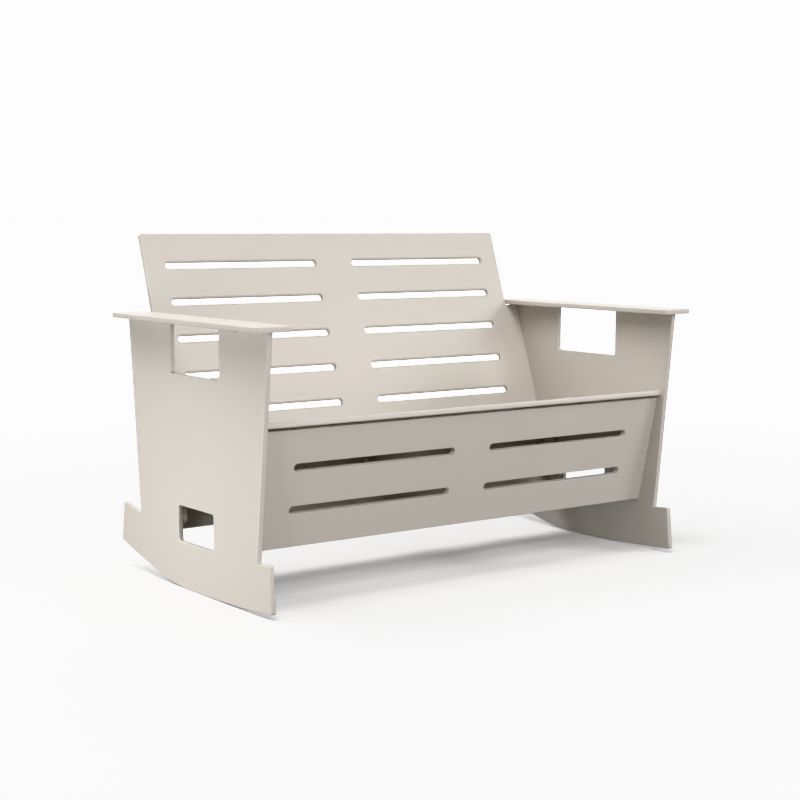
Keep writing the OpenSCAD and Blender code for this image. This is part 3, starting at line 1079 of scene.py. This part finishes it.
    def _axis(self, points: list[Vector], kind: ScrewKind) -> tuple[Vector, Vector]:
        """Finds one screw's axis, the direction in which its points spread most.

        Args:
            points: The vertices of the solid screw, evenly spaced round its axis.
            kind: The kind of screw.

        Returns:
            The middle of the head's seat and the axis out of the head.
        """
        middle = sum(points, Vector())/len(points)
        spread = [p - middle for p in points]
        along = Vector(np.linalg.svd(np.array(spread), full_matrices=False)[2][0])
        far = self.rim_share*self.head/2*MM
        rim = [v for v in spread if (v - along*v.dot(along)).length > far]
        if sum(v.dot(along) for v in rim) < 0:
            along = -along
        top = max(v.dot(along) for v in spread)
        return middle + along*(top - (0.0 if kind.flat else self.head_height*MM)), along

    def build(self) -> None:
        """Sets a finished screw wherever the solids have one."""
        tree = self._tree()
        for seed, kind in enumerate(self.kinds, start=self.first_seed):
            places = self._places(kind)
            mesh = bpy.data.meshes.new("machined_" + kind.node)
            mesh.from_pydata([p for p, _ in places], [], [])
            axis = mesh.attributes.new("axis", "FLOAT_VECTOR", "POINT")
            for item, (_, way) in zip(axis.data, places):
                item.vector = way
            piece = put("machined_" + kind.node, mesh)
            pattern = self._screw(kind)
            grow(piece, tree, {"Screw": pattern, "Steel": self.shop.steel, "Seed": seed})
            bpy.data.meshes.remove(pattern.data)
            finish_piece(piece, kind.node)


@dataclass(frozen=True)
class Lamp:
    """A square soft box: its place and side in metres, its power in watts, and what it faces."""

    name: str
    place: Place
    side: float
    watts: float
    aim: Place = (0.0, 0.0, 0.4)

    def hang(self) -> None:
        """Hangs the lamp in the scene."""
        data = bpy.data.lights.new(self.name, "AREA")
        data.energy = self.watts
        data.size = self.side
        lamp = put(self.name, data)
        lamp.location = self.place
        way = Vector(self.aim) - Vector(self.place)
        lamp.rotation_euler = way.to_track_quat("-Z", "Y").to_euler()


@dataclass
class Studio:
    """Plain pale floor, soft light and the camera of the photograph."""

    eye: Place = (-2341.1, -3146.5, 842.1)
    heading: float = -36.46
    pitch: float = 7.0
    roll: float = 0.187
    focal_px: float = 1598.63
    centre_px: Point = (399.25, 416.13)
    picture_px: float = 800.0
    sensor: float = 36.0
    view_end: float = 2000.0
    floor_radius: float = 900.0
    floor_tones: tuple[str, str] = ("#f4f4f4", "#f7f7f7")
    fibre: Grain = Grain(4.0)
    # Strength of the floor's glow near the bench and far from it, and where that is in metres.
    floor_glow: Point = (0.0, 3.0)
    glow_from: Point = (1.0, 4.5)
    # Strength of the light from above the horizon, from below it, and as the camera sees it.
    sky: float = 0.0
    bounce: float = 0.24
    backdrop: float = 4.0
    # How far under the horizon the light from below has set in.
    dusk: float = -0.02
    # The lit cloth: its strength, its compass heading, and how it fades sideways and upwards.
    cloth: float = 5.0
    cloth_heading: float = -36.46
    cloth_sides: Point = (0.6, 0.9)
    cloth_top: Point = (0.15, 0.4)
    lamps: tuple[Lamp, ...] = (
        Lamp("front_light", (-0.5, -4.0, 2.6), 2.0, 50.0),
        Lamp("low_front_light", (0.0, -4.5, 1.0), 2.0, 84.0),
        Lamp("right_light", (3.0, -3.0, 2.2), 2.0, 90.0),
        Lamp("low_side_light", (-1.5, 0.1, 0.08), 0.4, 11.5),
        Lamp("low_corner_light", (-1.7, -0.7, 0.1), 0.4, 4.2),
        Lamp("far_corner_light", (-4.5, -2.2, 0.1), 0.6, 32.0),
        Lamp("high_corner_light", (-3.5, -5.0, 7.0), 3.0, 140.0),
        Lamp("rear_light", (0.0, 2.0, 3.2), 2.0, 66.0),
        Lamp("high_side_light", (-1.5, 1.5, 3.0), 1.5, 72.0),
        Lamp("ceiling_light", (-2.5, -0.5, 9.0), 3.0, 510.0))

    def camera(self) -> None:
        """Sets the camera where the photographer stood."""
        data = bpy.data.cameras.new("camera")
        data.sensor_fit = "HORIZONTAL"
        data.sensor_width = self.sensor
        data.lens = self.focal_px/self.picture_px*self.sensor
        data.shift_x = (self.picture_px/2 - self.centre_px[0])/self.picture_px
        data.shift_y = (self.centre_px[1] - self.picture_px/2)/self.picture_px
        data.clip_end = self.view_end
        camera = put("camera", data)
        ahead = Vector((-sin(self.heading)*cos(self.pitch), cos(self.heading)*cos(self.pitch),
                        -sin(self.pitch)))
        right = Vector((cos(self.heading), sin(self.heading), 0.0))
        up = right.cross(ahead)
        c, s = cos(self.roll), sin(self.roll)
        right, up = right*c + up*s, up*c - right*s
        axes = Matrix((right, up, -ahead)).transposed()
        camera.matrix_world = Matrix.Translation(Vector(self.eye)*MM) @ axes.to_4x4()
        bpy.context.scene.camera = camera

    def floor(self) -> None:
        """Lays the floor, a wide matt disc that glows far from the bench."""
        material, shader = start_material("matt_studio_paper")
        tree = material.node_tree
        shade, tone = self.floor_tones
        mix = add(tree, "ShaderNodeMix", {
            "Factor": self.fibre.draw(tree), 6: rgb(shade), 7: rgb(tone)}, data_type="RGBA")
        place = add(tree, "ShaderNodeTexCoord").outputs["Object"]
        away = add(tree, "ShaderNodeVectorMath", {0: place}, operation="LENGTH")
        (near, far), (low, high) = self.glow_from, self.floor_glow
        glow = add(tree, "ShaderNodeMapRange", {
            "Value": away.outputs["Value"], "From Min": near, "From Max": far,
            "To Min": low, "To Max": high}, interpolation_type="SMOOTHSTEP")
        feed(shader, {"Base Color": mix.outputs[2], "Roughness": 0.9, "Specular IOR Level": 0.1,
                      "Emission Color": rgb("#ffffff"), "Emission Strength": glow})
        mesh = bpy.data.meshes.new("floor")
        r = self.floor_radius
        ring = [(r*cos(a), r*sin(a), 0.0) for a in range(0, 360, 6)]
        mesh.from_pydata(ring, [], [tuple(range(len(ring)))])
        mesh.materials.append(material)
        floor = put("floor", mesh)
        floor.visible_diffuse = floor.visible_glossy = False

    def world(self) -> None:
        """Sets the surroundings: a lit cloth, dim light from below, and white where they show."""
        world = bpy.data.worlds.new("studio")
        bpy.context.scene.world = world
        world.use_nodes = True
        tree = world.node_tree
        tree.nodes.clear()
        place = add(tree, "ShaderNodeTexCoord").outputs["Generated"]
        height = add(tree, "ShaderNodeSeparateXYZ", {0: place}).outputs["Z"]
        level = add(tree, "ShaderNodeMapRange", {
            "Value": height, "From Min": self.dusk, "From Max": 0.0,
            "To Min": self.bounce, "To Max": self.sky})
        way = (-sin(self.cloth_heading), cos(self.cloth_heading), 0.0)
        along = add(tree, "ShaderNodeVectorMath", {0: place, 1: way}, operation="DOT_PRODUCT")
        (none, full), (low, high) = self.cloth_sides, self.cloth_top
        aside = add(tree, "ShaderNodeMapRange", {
            "Value": along.outputs["Value"], "From Min": none, "From Max": full})
        upward = add(tree, "ShaderNodeMapRange", {
            "Value": height, "From Min": low, "From Max": high, "To Min": self.cloth,
            "To Max": 0.0})
        above = add(tree, "ShaderNodeMath", {0: height, 1: 0.0}, operation="GREATER_THAN")
        cloth = add(tree, "ShaderNodeMath", {0: aside, 1: upward}, operation="MULTIPLY")
        level = add(tree, "ShaderNodeMath", {0: cloth, 1: above, 2: level},
                    operation="MULTIPLY_ADD")
        seen = add(tree, "ShaderNodeLightPath").outputs["Is Camera Ray"]
        strength = add(tree, "ShaderNodeMix", {"Factor": seen, 2: level, 3: self.backdrop})
        light = add(tree, "ShaderNodeBackground", {"Color": rgb("#ffffff"), "Strength": strength})
        add(tree, "ShaderNodeOutputWorld", {"Surface": light})

    def build(self) -> None:
        """Sets up the whole studio."""
        bpy.context.scene.view_settings.view_transform = "Khronos PBR Neutral"
        self.camera()
        self.floor()
        self.world()
        for lamp in self.lamps:
            lamp.hang()


def main() -> None:
    """Builds the studio, the finishes, and then the bench, one sub-assembly after another."""
    logging.basicConfig(level=logging.INFO, format="%(name)s: %(message)s")
    Studio().build()
    pressed = Polyethylene("pressed", Surface.PRESSED).build()
    # A cutter leaves the edges a little smoother and the slots' walls duller. The walls' darker
    # tone is painted shade, standing in for the shade inside the slots.
    routed = Polyethylene("routed", Surface.ROUTED, "#b7b1a9", roughness=0.42).build()
    sawn = Polyethylene("sawn", Surface.SAWN, "#b2aba2", roughness=0.5).build()
    milled = Polyethylene("milled", Surface.ROUTED, "#aba59d", roughness=0.5).build()
    shop = Workshop(Layout(), BoardCutter(pressed, routed, milled),
                    BoardCutter(sawn, routed, milled),
                    StainlessSteel("brushed_stainless_steel").build())
    for assembly in (SidePanels(shop), ArmBoards(shop), BackPanel(shop), SeatBox(shop),
                     Fasteners(shop)):
        assembly.build()
        LOG.info("%s done", type(assembly).__name__)


if __name__ == "__main__":
    main()
